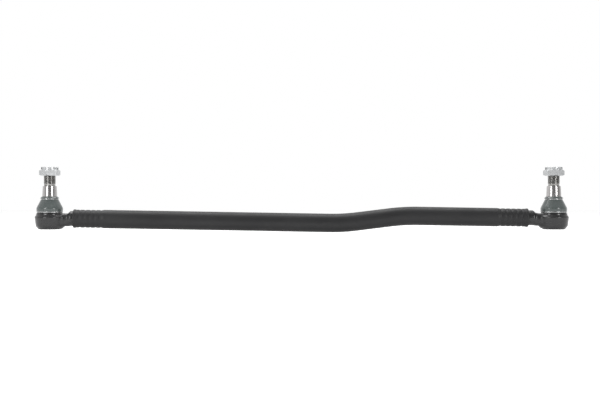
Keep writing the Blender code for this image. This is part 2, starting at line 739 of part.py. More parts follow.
def boot_profile():
    """The boot's wall: lip, cone and bulge outside, and the hollow inside."""
    foot = HOUSING_TOP + GAP
    lip = TAPER_FOOT - GAP
    hold = SEAL_RADIUS + GAP
    bead = BOOT_BULGE_RADIUS - RING_PROUD
    upper = groove(UPPER_RING_RADIUS, UPPER_RING)
    lower = groove(BOOT_BULGE_RADIUS, LOWER_RING)
    upper_top, upper_foot = [height for _, height in upper]
    lower_top, lower_foot = [height for _, height in lower]
    taper_foot_radius = TAPER_END_RADIUS + (TAPER_TOP - TAPER_FOOT) / (2 * TAPER_RATIO)
    outer = [
        (COLLAR_RADIUS - BOOT_LIP_CHAMFER, lip),
        (COLLAR_RADIUS, lip - BOOT_LIP_CHAMFER),
        (COLLAR_RADIUS, upper_top),
        *upper,
        (CONE_TOP_RADIUS, upper_foot),
        (BOOT_BULGE_RADIUS - BOOT_EASE, BOOT_BULGE_HEIGHT + BOOT_WALL),
        (BOOT_BULGE_RADIUS, BOOT_BULGE_HEIGHT),
        (bead, lower_top),
        *lower,
        (bead, lower_foot),
    ]
    inner = [
        (bead - BOOT_EASE, foot),
        (SPIGOT_RADIUS + GAP, foot),
        (SPIGOT_RADIUS + GAP, lower_top),
        (BOOT_BULGE_RADIUS - BOOT_WALL, BOOT_BULGE_HEIGHT),
        (hold, upper_foot),
        (hold, lip - LIP_LENGTH),
        (taper_foot_radius + GAP, lip),
    ]
    return outer + inner


def make_boot(side, joint):
    """The rubber boot and the rings that hold its bead and its lip."""
    lower = ring_profile(BOOT_BULGE_RADIUS, LOWER_RING)
    upper = ring_profile(UPPER_RING_RADIUS, UPPER_RING)
    place(turned("boot", boot_profile(), SIDES), joint, RUBBER, f"{side}_boot")
    place(turned("ring", lower, SIDES), joint, RING_STEEL, f"{side}_boot_lower_ring")
    place(turned("ring", upper, SIDES), joint, RING_STEEL, f"{side}_boot_upper_ring")


# The whole rod


def lowest_point(tube):
    """Height of the tube's lowest vertex under the line through both balls."""
    return min(vertex.co.z for vertex in tube.data.vertices)


def empty(name, location, turn, parent):
    """A mark that pieces hang on."""
    mark = bpy.data.objects.new(name, None)
    mark.empty_display_size = BALL_RADIUS
    mark.location = location
    mark.rotation_euler = (0, 0, turn)
    mark.parent = parent
    PARTS.objects.link(mark)
    return mark


def build():
    """Builds the rod: the tube, and a ball joint at each end."""
    line = Centreline()
    rod = empty("rod_line", (-BALL_SPACING / 2, 0, 0), 0, None)
    tube = make_tube(line, rod)
    rod.location.z = -lowest_point(tube)
    ends = {
        "left": ((0, 0, 0), 0, line.slope),
        "right": ((BALL_SPACING, 0, 0), math.pi, -line.slope),
    }
    for side, (location, turn, slope) in ends.items():
        joint = empty(f"{side}_ball_centre", location, turn, rod)
        make_housing(side, joint, slope)
        make_stud(side, joint)
        make_nut(side, joint)
        make_seats(side, joint)
        make_spring(side, joint)
        make_cap(side, joint)
        make_boot(side, joint)


for leftover in list(bpy.data.objects):
    bpy.data.objects.remove(leftover, do_unlink=True)

PARTS = collection("tie_rod")
TOOLS = collection("tie_rod_tools")
SHADING = shading_group()
PAINT = material("satin_black_paint", (0.028, 0.028, 0.029), 0.42, 0.0)
GROUND_STEEL = material("ground_steel", (0.52, 0.52, 0.50), 0.32, 1.0)
ZINC = material("zinc_plate", (0.72, 0.74, 0.74), 0.34, 1.0)
RUBBER = material("grey_green_rubber", (0.13, 0.15, 0.14), 0.55, 0.0)
RING_STEEL = material("ring_steel", (0.55, 0.56, 0.56), 0.35, 1.0)
SPRING_STEEL = material("spring_steel", (0.30, 0.30, 0.31), 0.4, 1.0)
BEARING_PLASTIC = material("bearing_plastic", (0.80, 0.79, 0.74), 0.4, 0.0)
build()
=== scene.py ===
"""The finish of a heavy vehicle's tie rod: fine meshes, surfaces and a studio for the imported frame.

Metres, +Z up. X runs along the rod. Each end is modelled about its ball's centre, with its stud up
+Z and its stem along +X, and then placed at that ball. The right end is turned round.
"""

import json
import math

import bmesh
import bpy
from mathutils import Matrix, Vector


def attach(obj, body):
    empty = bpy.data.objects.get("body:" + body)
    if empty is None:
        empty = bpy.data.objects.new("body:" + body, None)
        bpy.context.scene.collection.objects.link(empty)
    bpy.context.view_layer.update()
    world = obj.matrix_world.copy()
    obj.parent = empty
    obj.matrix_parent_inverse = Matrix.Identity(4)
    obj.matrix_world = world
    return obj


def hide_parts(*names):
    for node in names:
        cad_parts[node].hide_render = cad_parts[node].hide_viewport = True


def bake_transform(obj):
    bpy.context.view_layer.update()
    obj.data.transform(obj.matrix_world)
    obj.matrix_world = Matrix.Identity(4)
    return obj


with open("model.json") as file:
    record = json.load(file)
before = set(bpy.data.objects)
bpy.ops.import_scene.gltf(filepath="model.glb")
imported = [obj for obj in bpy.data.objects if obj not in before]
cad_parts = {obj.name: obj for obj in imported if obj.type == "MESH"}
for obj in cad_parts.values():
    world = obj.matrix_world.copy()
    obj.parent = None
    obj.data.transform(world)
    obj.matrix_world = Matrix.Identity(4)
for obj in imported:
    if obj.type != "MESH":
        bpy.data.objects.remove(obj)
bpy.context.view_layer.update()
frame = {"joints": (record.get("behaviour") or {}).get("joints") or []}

MM = 0.001
JOINTS = {joint["name"]: joint for joint in frame["joints"]}
BALLS = {side: Vector(JOINTS[f"{side}_tilt"]["pos_m"]) for side in ("left", "right")}
TURNS = {"left": 0, "right": math.pi}

# Rod
BALL_SPACING = BALLS["right"].x - BALLS["left"].x
FIRST_BEND = 740 * MM  # from the left ball to the corner of the first bend
CRANK_LENGTH = 153 * MM  # from that corner to the next, measured level
CRANK_ANGLE = math.radians(7)
BEND_RADIUS = 520 * MM
TUBE_RADIUS = 23.25 * MM
TUBE_WALL = 4.5 * MM
MOUTH = {"left": 60.5 * MM, "right": 66 * MM}  # from each ball to its end of the tube

# Crimped ends of the tube
CRIMP_LENGTH = 75 * MM
CRIMP_DROP = 0.7 * MM  # how much smaller in radius the crimped length is
CRIMP_RUN = 2 * CRIMP_DROP  # half the length of the slope back up to the full tube
MOUTH_EDGE = 0.25 * MM
MOUTH_EDGE_DROP = 0.3 * CRIMP_DROP
MOUTH_BEAD = 0.1 * MM  # how far the rim at the mouth stands out
BEAD_START = 1 * MM
BEAD_LENGTH = 5 * MM
CRIMP_ROUNDING = 20 * MM
FIRST_GROOVE = 16.1 * MM
GROOVE_PITCH = 13.2 * MM
GROOVE_WIDTH = 6.4 * MM
GROOVE_DEPTH = 1.1 * MM

# Stem
SHOULDER_RADIUS = 19 * MM
SHOULDER_START = 54 * MM  # from the ball to where the neck has become round
SHOULDER_EDGE = 1.2 * MM
NECK_HEIGHT = 33 * MM
NECK_WIDTH = 33 * MM
NECK_DROP = 1 * MM  # how much lower than the shoulder the neck is
NECK_SQUARENESS = 2.6  # exponent of its section, where 2 is round
NECK_BLEND = 9 * MM  # length over which it becomes round
NECK_FILLET = 6 * MM
NECK_SINK = 3.5 * MM  # how far the stem's root reaches into the housing's wall
FILLET_CEILING = 1.2 * MM  # kept free under the housing's top
FILLET_FLOOR = 0.6 * MM  # kept free over its foot
FOOT_WEB = 3 * MM  # how much further the fillet runs out under the neck
SHANK_OVERRUN = 7 * MM
SHANK_CHAMFER = 2 * MM

# Ball and stud, as heights over the ball's centre
BALL_RADIUS = 22.5 * MM
BALL_FLAT = 19.8 * MM
NECK_RADIUS = 13.9 * MM
NECK_TOP = 26 * MM
NECK_ROUNDING = 6 * MM
FLARE_SHARE = 0.35  # of the widening from neck to seal length, what is reached half way up
FLARE_ROUNDING = 12 * MM
SEAL_RADIUS = 18 * MM
SEAL_FOOT = 37 * MM
SEAL_ROUNDING = 2 * MM
TAPER_FOOT = 54.6 * MM
TAPER_TOP = 80.6 * MM
TAPER_RATIO = 10
TAPER_END_RADIUS = 17.4 * MM
TAPER_FOOT_RADIUS = TAPER_END_RADIUS + (TAPER_TOP - TAPER_FOOT) / (2 * TAPER_RATIO)
TAPER_FOOT_ROUNDING = 0.5 * MM
TAPER_TOP_ROUNDING = 0.6 * MM
TAPER_CHAMFER_ROUNDING = 0.2 * MM
UNDERCUT_RADIUS = 13.9 * MM
UNDERCUT_TOP = 86 * MM
UNDERCUT_STEP = 0.4 * MM
UNDERCUT_ROUNDING = 1.2 * MM
THREAD_RADIUS = 15 * MM
THREAD_PITCH = 1.5 * MM
THREAD_ROOT = 0.92 * MM  # depth of the thread
THREAD_PROFILE = {0: 1, 1 / 8: 1, 7 / 16: 0, 11 / 16: 0}  # share of the pitch: share of the depth
# The faces above this height, thread and undercut, take the darker steel as painted shade.
THREAD_FACES_FOOT = TAPER_TOP + 0.1 * MM  # the stud's faces above this have the thread's steel
STUD_TOP = 121.2 * MM
STUD_CHAMFER = 1.6 * MM
CENTRE_HOLE = 2.2 * MM  # its radius and its depth
PIN_HOLE_RADIUS = 3 * MM
PIN_HOLE_DEPTH = 9 * MM  # from the stud's top to its axis

# Castle nut
NUT_RUN_ON = 14.6 * MM  # length of thread that the nut takes
NUT_FOOT = STUD_TOP - NUT_RUN_ON
NUT_ACROSS_FLATS = 46 * MM
NUT_CORNER_RADIUS = NUT_ACROSS_FLATS / 2 / math.cos(math.pi / 6)
NUT_HEX_HEIGHT = 15.4 * MM
NUT_HEIGHT = 22.2 * MM
NUT_FACE_RADIUS = 22.1 * MM
CROWN_RADIUS = 21.6 * MM
CROWN_CHAMFER = 0.8 * MM
SLOTS = 8
SLOT_WIDTH = 6.4 * MM
SLOT_ROUNDING = 1.6 * MM
NUT_CHAMFER = math.radians(30)
NUT_EDGE = 0.2 * MM
NUT_THREAD_PLAY = 0.12 * MM
EASED_ANGLE = math.radians(24)  # sharper edges than this are eased
NUT_TURN = {"left": math.radians(80.3), "right": math.radians(103.2)}  # of one corner and its slot

# Housing, as heights over the ball's centre
HOUSING_FOOT = -28 * MM
HOUSING_TOP = 13.6 * MM
TOP_RADIUS = 32.9 * MM
TOP_ROUNDING = 2.5 * MM
LAND_RADIUS = 33.6 * MM  # foot of the short upright land under the top
LAND_HEIGHT = 8.2 * MM
LAND_ROUNDING = 1.5 * MM
WIDEST_RADIUS = 37.3 * MM
WIDEST_HEIGHT = 3 * MM
WIDEST_ROUNDING = 4 * MM
LOW_RADIUS = 34.6 * MM
LOW_HEIGHT = -20 * MM
LOW_ROUNDING = 7 * MM
RIM_RADIUS = 27.9 * MM
RIM_OPENING = 25.4 * MM
RIM_THICKNESS = 2.3 * MM
RIM_HEIGHT = 1.5 * MM
RIM_DRAFT = 0.8 * MM
RIM_EDGE = 1 * MM
RIM_FOOT_ROUNDING = 0.8 * MM
RIM_TOP_ROUNDING = 0.6 * MM
CAP_STEP_ROUNDING = 0.4 * MM  # of the step that the closing cap rests on
SPIGOT_RADIUS = 27.6 * MM
SPIGOT_TOP = 17.2 * MM
SPIGOT_ROUNDING = 0.8 * MM
SPIGOT_CORNER = 0.5 * MM
LIP_RADIUS = 21.8 * MM
LIP_HEIGHT = 12.6 * MM
LIP_LAND = 0.8 * MM
LIP_FOOT_ROUNDING = 0.3 * MM
LIP_TOP_ROUNDING = 0.5 * MM
MOUTH_FLARE = 3 * MM
MOUTH_ROUNDING = 0.6 * MM
SEAT_CONE = 5.6 * MM  # height of the cone between the bore and the lip

# Bearing seats, spring and cap
SEAT_WALL = 2.9 * MM
SEAT_PLAY = 0.7 * MM
SEAT_SPLIT = 1.3 * MM
SEAT_TOP_ANGLE = math.radians(61.8)
SEAT_FOOT = -18.4 * MM
SPRING_THICKNESS = 1.6 * MM
SPRING_OPENING = 14.6 * MM
SPRING_EDGE = 0.3 * MM
CAP_THICKNESS = 3.1 * MM
CAP_MARGIN = 1.4 * MM
CAP_EDGE = 0.4 * MM
CAP_DISH = 1 * MM
CAP_DISH_RADIUS = 13 * MM
CAP_DISH_RUN = 4 * CAP_DISH  # level length of the dish's slope
CAP_BEND = 3 * MM

# Boot and its rings
BOOT_WALL = 3 * MM
BOOT_BULGE_RADIUS = 32.9 * MM
BOOT_BULGE_HEIGHT = 24.6 * MM
CONE_TOP_RADIUS = 21.9 * MM
COLLAR_RADIUS = 23.8 * MM  # the lip's flange over the upper ring
BOOT_LIP_CHAMFER = 4 * MM
BOOT_EASE = 1 * MM
BOOT_EDGE = 0.5 * MM
BULGE_ROUNDING = 8 * MM
HOLLOW_ROUNDING = 6 * MM
HOLLOW_TOP_ROUNDING = 2 * MM
RING_HEIGHT = 2.4 * MM
RING_SECTION = 1.8 * MM
RING_PROUD = 0.3 * MM  # how far the lower ring stands out of the boot
WIRE_TURNS = 2
WIRE_GAP = 0.04 * MM
WIRE_EDGE = 0.35 * MM
CLIMB_START = 0.9  # of a lap, where the wire starts to climb to the next
CLIMB_LENGTH = 0.2
LOWER_RING = 15.7 * MM
UPPER_RING = 48.3 * MM
UPPER_RING_RADIUS = 22.4 * MM

# Fits
GAP = 0.3 * MM
CLEARANCE = 0.4 * MM

# Fineness
SIDES = 96
THREAD_SIDES = 64
STEM_SIDES = 64
NUT_SIDES = 72
PIN_HOLE_SIDES = 32
FILLET_STEPS = 8
NECK_STEPS = 12
BEND_STEPS = 24  # round each bend of the tube's outside
BORE_BEND_STEPS = 8
TUBE_STEP = 45 * MM
BOOT_STEP = 1.2 * MM
ARC_STEP = math.radians(12)
BALL_FINENESS = 3  # steps of a ball's arc for each ARC_STEP
SLOT_ARC_STEP = math.radians(30)
ROUNDING_SHARE = 0.48  # the most that one rounding takes of a side
FILLET_SINK = 0.12 * MM  # how far the fillet starts under the housing's side
OVERCUT = 2 * MM
MERGE = 0.001 * MM
NUT_MERGE = 0.08 * MM
FLAT_ANGLE = math.radians(0.5)  # nut faces within this angle become one
SHARP = math.radians(35)

# Camera, from the photograph: 2.52 mm a pixel at the rod
PICTURE_WIDTH = 600
PIXEL = 2.52 * MM
CAMERA_DISTANCE = 2.8
CAMERA_AIM = (-4.4 * MM, 0, 80.9 * MM)
SENSOR = 36

# Materials
NOISE_RANGE = (0.3, 0.7)  # the part of a noise over which colour and roughness change

# Studio
AMBIENT = 0.4  # the world's plain light
BRIGHT_SIDE = (-0.35, 1, 0)  # towards the room's bright side, as gloss shows it
ROOM_RANGE = (-0.9, 0.5)  # how far that way the room is darkest and brightest
FRONT_REFLECTION = 0.25  # strength of the room's darkest part
FLOOR_SIZE = 12
FLOOR_TONE = 0.8
FLOOR_ROUGHNESS = 0.9
FLOOR_SPECULAR = 0.1
FLOOR_LIFT = 0.64  # glow that makes the floor white where it is seen
LAMPS = {  # place, aim, width, height and power
    "left_softbox": ((-1.45, -1.55, 0.6), (-0.3, 0, 0.08), 0.45, 1.0, 12),
    "right_softbox": ((2.2, -2.5, 0.8), (0.3, 0, 0.08), 0.7, 1.4, 30),
    "top_softbox": ((-0.3, 0.5, 2.0), (-0.3, 0, 0), 2.4, 1.2, 30),
}


# Outlines


def rounded(corners, closed=False, arc_step=ARC_STEP):
    """An outline through corners of (radius, height, rounding), with each rounding made an arc."""
    points = []
    count = len(corners)
    for i, (x, z, rounding) in enumerate(corners):
        here = Vector((x, z))
        if rounding == 0 or (not closed and i in (0, count - 1)):
            points.append((x, z))
            continue
        before = Vector(corners[i - 1][:2]) - here
        after = Vector(corners[(i + 1) % count][:2]) - here
        angle = before.angle(after)
        longest = ROUNDING_SHARE * min(before.length, after.length)
        reach = min(rounding / math.tan(angle / 2), longest)
        radius = reach * math.tan(angle / 2)
        before.normalize()
        after.normalize()
        centre = here + (before + after).normalized() * radius / math.sin(angle / 2)
        start = here + before * reach - centre
        end = here + after * reach - centre
        sweep = start.angle_signed(end)
        steps = max(1, math.ceil(abs(sweep) / arc_step))
        for step in range(steps + 1):
            spoke = start.copy()
            spoke.rotate(Matrix.Rotation(-sweep * step / steps, 2))
            points.append(tuple(centre + spoke))
    return points


def subdivided(outline, longest, closed=True):
    """The same outline, with no side longer than that."""
    points = []
    last = len(outline) if closed else len(outline) - 1
    for i in range(last):
        a, b = Vector(outline[i]), Vector(outline[(i + 1) % len(outline)])
        parts = max(1, math.ceil((b - a).length / longest))
        points += [tuple(a.lerp(b, k / parts)) for k in range(parts)]
    if not closed:
        points.append(outline[-1])
    return points


def arc(radius, start, end):
    """Points (radius, height) of a circle about the ball's centre, by angle from the top."""
    steps = max(1, math.ceil(abs(end - start) / ARC_STEP * BALL_FINENESS))
    angles = [start + (end - start) * i / steps for i in range(steps + 1)]
    return [(radius * math.sin(a), radius * math.cos(a)) for a in angles]


def plain(points):
    """Corners with no rounding."""
    return [(x, z, 0) for x, z in points]


def smooth_step(value):
    """0 up to 0, 1 from 1 on, and an even ease between them."""
    share = min(1, max(0, value))
    return share * share * (3 - 2 * share)


# Meshes


def ring(model, radius, height, sides):
    """A ring of vertices round Z."""
    angles = [2 * math.pi * i / sides for i in range(sides)]
    return [model.verts.new((radius * math.cos(a), radius * math.sin(a), height)) for a in angles]


def bridge(model, near, far):
    """The faces between two rings of as many vertices."""
    for i in range(len(near)):
        j = (i + 1) % len(near)
        model.faces.new((near[i], near[j], far[j], far[i]))


def fan(model, loop, point):
    """The faces from a ring to a point on its axis."""
    tip = model.verts.new(point)
    for i in range(len(loop)):
        model.faces.new((loop[i], loop[(i + 1) % len(loop)], tip))


def finished(model, name):
    """Merges the model's seams, turns its faces outward and makes it an object."""
    bmesh.ops.remove_doubles(model, verts=model.verts, dist=MERGE)
    bmesh.ops.dissolve_degenerate(model, dist=MERGE, edges=model.edges)
    bmesh.ops.recalc_face_normals(model, faces=model.faces)
    mesh = bpy.data.meshes.new(name)
    model.to_mesh(mesh)
    model.free()
    obj = bpy.data.objects.new(name, mesh)
    bpy.context.scene.collection.objects.link(obj)
    return obj


def turned(name, outline, sides=SIDES):
    """A solid of revolution. An outline that starts off the axis is closed on itself."""
    model = bmesh.new()
    on_axis = outline[0][0] < MERGE
    rings = [ring(model, r, z, sides) for r, z in outline if r >= MERGE]
    for near, far in zip(rings, rings[1:]):
        bridge(model, near, far)
    if on_axis:
        fan(model, rings[0], (0, 0, outline[0][1]))
        fan(model, rings[-1], (0, 0, outline[-1][1]))
    else:
        bridge(model, rings[-1], rings[0])
    return finished(model, name)


def bar(name, outline, length):
    """A bar along X with that closed outline of (across, height)."""
    model = bmesh.new()
    ends = [[model.verts.new((x, y, z)) for y, z in outline] for x in (-length / 2, length / 2)]
    bridge(model, *ends)
    model.faces.new(ends[0])
    model.faces.new(reversed(ends[1]))
    return finished(model, name)


def combined(obj, tools):
    """The object with those (object, operation) Booleans made, and the tools removed."""
    for tool, operation in tools:
        boolean = obj.modifiers.new(operation, "BOOLEAN")
        boolean.operation = operation
        boolean.solver = "EXACT"
        boolean.object = tool
    applied(obj)
    for tool, _ in tools:
        bpy.data.objects.remove(tool)
    return obj


def applied(obj):
    """Puts an object's modifiers into its mesh."""
    bpy.context.view_layer.update()
    result = obj.evaluated_get(bpy.context.evaluated_depsgraph_get())
    obj.data = bpy.data.meshes.new_from_object(result)
    obj.modifiers.clear()


def smoothed(obj):
    """Shades an object smooth, apart from its sharp edges."""
    obj.data.shade_smooth()
    obj.data.set_sharp_from_angle(angle=SHARP)


def placed(obj, side, look):
    """Sets a piece modelled about the ball's centre at its end of the rod, with its material."""
    smoothed(obj)
    obj.data.materials.clear()
    obj.data.materials.append(look)
    obj.matrix_world = Matrix.Translation(BALLS[side]) @ Matrix.Rotation(TURNS[side], 4, "Z")
    bpy.context.view_layer.update()
    return obj


def worn_by(obj, body, node):
    """Makes the piece ride on a body in a node's place, and hides that node."""
    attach(obj, body)
    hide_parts(node)


# Centreline of the rod


class Centreline:
    """Straight, bend, crank, bend and straight, from the left ball to the right one."""

    def __init__(self):
        rise = CRANK_LENGTH * math.tan(CRANK_ANGLE)
        self.slope = -math.atan2(rise, BALL_SPACING - CRANK_LENGTH)
        turn = CRANK_ANGLE - self.slope
        tangent = BEND_RADIUS * math.tan(turn / 2)
        second_bend = FIRST_BEND + CRANK_LENGTH
        first = FIRST_BEND / math.cos(self.slope) - tangent
        crank = CRANK_LENGTH / math.cos(CRANK_ANGLE) - 2 * tangent
        last = (BALL_SPACING - second_bend) / math.cos(self.slope) - tangent
        bend = BEND_RADIUS * turn
        self.marks = [0, first, first + bend, first + bend + crank, first + 2 * bend + crank]
        self.length = self.marks[-1] + last
        self.curves = [0, 1 / BEND_RADIUS, 0, -1 / BEND_RADIUS, 0]

    def at(self, station):
        """Place on the rod, and the slope there, at a distance along it from the left ball."""
        x, z, slope = 0, 0, self.slope
        ends = self.marks[1:] + [self.length]
        for start, end, curve in zip(self.marks, ends, self.curves):
            run = max(0, min(station, end) - start)
            turned_by = run * curve
            chord = run
            if curve and run:
                chord = 2 * math.sin(abs(turned_by) / 2) / abs(curve)
            x += chord * math.cos(slope + turned_by / 2)
            z += chord * math.sin(slope + turned_by / 2)
            slope += turned_by
        return x, z, slope

    def bend_stations(self, count):
        """Even stations round both bends, ends included."""
        first, second = self.marks[1:3], self.marks[3:5]
        return [a + (b - a) * i / count for a, b in (first, second) for i in range(count + 1)]


def groove_middles():
    """Distance from the mouth to each ring groove, as many as the crimped length holds."""
    room = CRIMP_LENGTH + CRIMP_DROP - GROOVE_PITCH / 2 - FIRST_GROOVE
    return [FIRST_GROOVE + number * GROOVE_PITCH for number in range(int(room / GROOVE_PITCH) + 1)]


def crimp_corners():
    """Distance from the mouth, change of radius and rounding, down the crimped end of the tube."""
    corners = [
        (MOUTH_EDGE, -MOUTH_EDGE_DROP, 0),
        (BEAD_START, MOUTH_BEAD, BEAD_LENGTH / 2),
        (BEAD_LENGTH, MOUTH_BEAD, BEAD_LENGTH),
        (BEAD_LENGTH + CRIMP_RUN + MOUTH_BEAD, -CRIMP_DROP, BEAD_LENGTH),
    ]
    half = GROOVE_WIDTH / 2
    for middle in groove_middles():
        corners.append((middle - half, -CRIMP_DROP, half))
        corners.append((middle, -CRIMP_DROP - GROOVE_DEPTH, half))
        corners.append((middle + half, -CRIMP_DROP, half))
    corners.append((CRIMP_LENGTH - CRIMP_RUN, -CRIMP_DROP, CRIMP_ROUNDING))
    corners.append((CRIMP_LENGTH + CRIMP_RUN, 0, CRIMP_ROUNDING))
    return corners + [(CRIMP_LENGTH + 3 * CRIMP_RUN, 0, 0)]


def bore_steps():
    """Distance from the mouth and change of radius, down the crimped end's bore."""
    steps = [(0, -CRIMP_DROP), (FIRST_GROOVE - GROOVE_PITCH / 2, -CRIMP_DROP)]
    for middle in groove_middles():
        steps.append((middle, -CRIMP_DROP - GROOVE_DEPTH))
        steps.append((middle + GROOVE_PITCH / 2, -CRIMP_DROP))
    return steps + [(CRIMP_LENGTH + CRIMP_DROP, 0)]


def make_tube(line):
    """The tube, turned straight along Z and then bent along the centreline."""
    start, end = MOUTH["left"], line.length - MOUTH["right"]
    crimp = rounded(crimp_corners())
    outside = [(TUBE_RADIUS + change, start + s) for s, change in crimp]
    outside += [(TUBE_RADIUS, s) for s in line.bend_stations(BEND_STEPS)]
    outside += [(TUBE_RADIUS + change, end - s) for s, change in reversed(crimp)]
    bore = TUBE_RADIUS - TUBE_WALL
    inside = [(bore + change, start + s) for s, change in bore_steps()]
    inside += [(bore, s) for s in line.bend_stations(BORE_BEND_STEPS)]
    inside += [(bore + change, end - s) for s, change in reversed(bore_steps())]
    outside, inside = (subdivided(points, TUBE_STEP, closed=False) for points in (outside, inside))
    tube = turned("painted_tube", outside + inside[::-1])
    for vertex in tube.data.vertices:
        x, z, slope = line.at(vertex.co.z)
        down = vertex.co.x
        vertex.co = (x + down * math.sin(slope), vertex.co.y, z - down * math.cos(slope))
    placed(tube, "left", PAINT)
    worn_by(tube, "root", "rod_tube")


# Housing


def bore_radius():
    """The housing's bore, which the seats fill."""
    return BALL_RADIUS + SEAT_PLAY + SEAT_WALL + CLEARANCE


def cap_radius():
    """The closing cap is wider than the bore, and rests on the step above it."""
    return bore_radius() + CAP_MARGIN


def cap_top():
    """The step in the housing that the closing cap rests on."""
    return HOUSING_FOOT + RIM_THICKNESS + GAP + CAP_THICKNESS


def housing_corners():
    """The forging's outer form, down from the spigot to the rolled rim."""
    return [
        (SPIGOT_RADIUS, SPIGOT_TOP, SPIGOT_ROUNDING),
        (SPIGOT_RADIUS, HOUSING_TOP, SPIGOT_CORNER),
        (TOP_RADIUS, HOUSING_TOP, TOP_ROUNDING),
        (LAND_RADIUS, LAND_HEIGHT, LAND_ROUNDING),
        (WIDEST_RADIUS, WIDEST_HEIGHT, WIDEST_ROUNDING),
        (LOW_RADIUS, LOW_HEIGHT, LOW_ROUNDING),
        (RIM_RADIUS + RIM_DRAFT, HOUSING_FOOT + RIM_HEIGHT, RIM_EDGE),
        (RIM_RADIUS, HOUSING_FOOT, RIM_EDGE),
    ]


def cavity_corners():
    """The inside, up from the rolled rim to the flared mouth."""
    bore = bore_radius()
    recess = cap_radius() + CLEARANCE
    lip_foot = LIP_HEIGHT - LIP_LAND
    return [
        (RIM_OPENING, HOUSING_FOOT, RIM_FOOT_ROUNDING),
        (RIM_OPENING, HOUSING_FOOT + RIM_THICKNESS, RIM_TOP_ROUNDING),
        (recess, HOUSING_FOOT + RIM_THICKNESS, 0),
        (recess, cap_top() + GAP, 0),
        (bore, cap_top() + GAP, CAP_STEP_ROUNDING),
        (bore, lip_foot - SEAT_CONE, 0),
        (LIP_RADIUS, lip_foot, LIP_FOOT_ROUNDING),
        (LIP_RADIUS, LIP_HEIGHT, LIP_TOP_ROUNDING),
        (LIP_RADIUS + MOUTH_FLARE, SPIGOT_TOP, MOUTH_ROUNDING),
    ]


def housing_radius_at(height, outline):
    """The housing's outer radius at a height, from its outline, which runs down."""
    for (r, z), (next_r, next_z) in zip(outline, outline[1:]):
        if next_z <= height <= z and z > next_z:
            return r + (next_r - r) * (z - height) / (z - next_z)
    return outline[-1][0]


def neck_section(x, slope):
    """Middle height, height, width and squareness of the neck at a distance from the ball."""
    ease = smooth_step((x - SHOULDER_START) / NECK_BLEND + 1)
    low = x * math.tan(slope) - SHOULDER_RADIUS - (1 - ease) * NECK_DROP
    height = NECK_HEIGHT + ease * (2 * SHOULDER_RADIUS - NECK_HEIGHT)
    width = NECK_WIDTH + ease * (2 * SHOULDER_RADIUS - NECK_WIDTH)
    return low + height / 2, height, width, NECK_SQUARENESS + ease * (2 - NECK_SQUARENESS)


def section_points(middle, height, width, squareness):
    """Points (across, height) round one section of the neck."""
    points = []
    for i in range(STEM_SIDES):
        angle = 2 * math.pi * i / STEM_SIDES
        y = abs(math.cos(angle)) ** (2 / squareness) * math.copysign(width / 2, math.cos(angle))
        z = abs(math.sin(angle)) ** (2 / squareness) * math.copysign(height / 2, math.sin(angle))
        points.append((y, middle + z))
    return points


def fillet_ring(depth, section, outline):
    """A ring of the fillet between neck and housing, that far off the housing's side."""
    inward = NECK_FILLET - max(0, depth)
    spread = NECK_FILLET - math.sqrt(NECK_FILLET**2 - inward**2)
    low, high = HOUSING_FOOT + FILLET_FLOOR, HOUSING_TOP - FILLET_CEILING
    points = []
    for y, z in section_points(*section):
        outward = Vector((y, z - section[0])).normalized()
        y, z = y + outward.x * spread, max(low, min(z + outward.y * spread, high))
        x = math.sqrt(housing_radius_at(z, outline) ** 2 - y**2) + depth
        if depth > -NECK_SINK:
            x += FOOT_WEB * max(0, -outward.y) ** 2 * inward / NECK_FILLET
        points.append((x, y, z))
    return points


def shank_outline(reach):
    """Shoulder and grooved shank as (distance from the ball, radius), with rounded edges."""
    bore = TUBE_RADIUS - TUBE_WALL - CLEARANCE
    tip = reach + CRIMP_LENGTH + SHANK_OVERRUN
    land = bore - CRIMP_DROP
    corners = [(SHOULDER_START, SHOULDER_RADIUS, 0), (reach - GAP, SHOULDER_RADIUS, SHOULDER_EDGE)]
    corners.append((reach - GAP, land, 0))
    corners += [(reach + s, bore + change, 0) for s, change in bore_steps()[1:-1]]
    corners += [(tip - SHANK_CHAMFER, land, SHANK_CHAMFER), (tip, land - SHANK_CHAMFER, 0)]
    return rounded(corners)


def make_stem(reach, slope, outline):
    """The neck and shank in one piece: fillet, squarish neck, round shoulder and grooved shank."""
    start = WIDEST_RADIUS + NECK_FILLET
    root = neck_section(start, slope)
    rings = [fillet_ring(-NECK_SINK, root, outline)]
    for step in range(FILLET_STEPS + 1):
        depth = NECK_FILLET * (1 - math.cos(math.pi / 2 * step / FILLET_STEPS))
        rings.append(fillet_ring(depth - FILLET_SINK, root, outline))
    for step in range(1, NECK_STEPS + 1):
        x = start + (SHOULDER_START - start) * step / NECK_STEPS
        rings.append([(x, y, z) for y, z in section_points(*neck_section(x, slope))])
    turn = Matrix.Rotation(-slope, 3, "Y")
    for x, radius in shank_outline(reach)[1:]:
        circle = section_points(0, 2 * radius, 2 * radius, 2)
        rings.append([turn @ Vector((x, y, z)) for y, z in circle])
    model = bmesh.new()
    loops = [[model.verts.new(point) for point in points] for points in rings]
    for near, far in zip(loops, loops[1:]):
        bridge(model, near, far)
    model.faces.new(loops[0])
    model.faces.new(reversed(loops[-1]))
    return finished(model, "stem")


def make_housing(side, slope):
    """The housing forging, bored out, with its stem joined to it."""
    outside = rounded(housing_corners())
    section = rounded(housing_corners() + cavity_corners(), closed=True)
    housing = turned(f"{side}_forged_housing", section)
    combined(housing, [(make_stem(MOUTH[side], slope, outside), "UNION")])
    placed(housing, side, FORGED_PAINT)
    worn_by(housing, "root", f"{side}_ball_housing")


# Thread


def thread_point(phase, radius):
    """The radius at a share of the pitch, for a thread with that radius at its crest."""
    return radius - THREAD_ROOT * (1 - THREAD_PROFILE[phase])


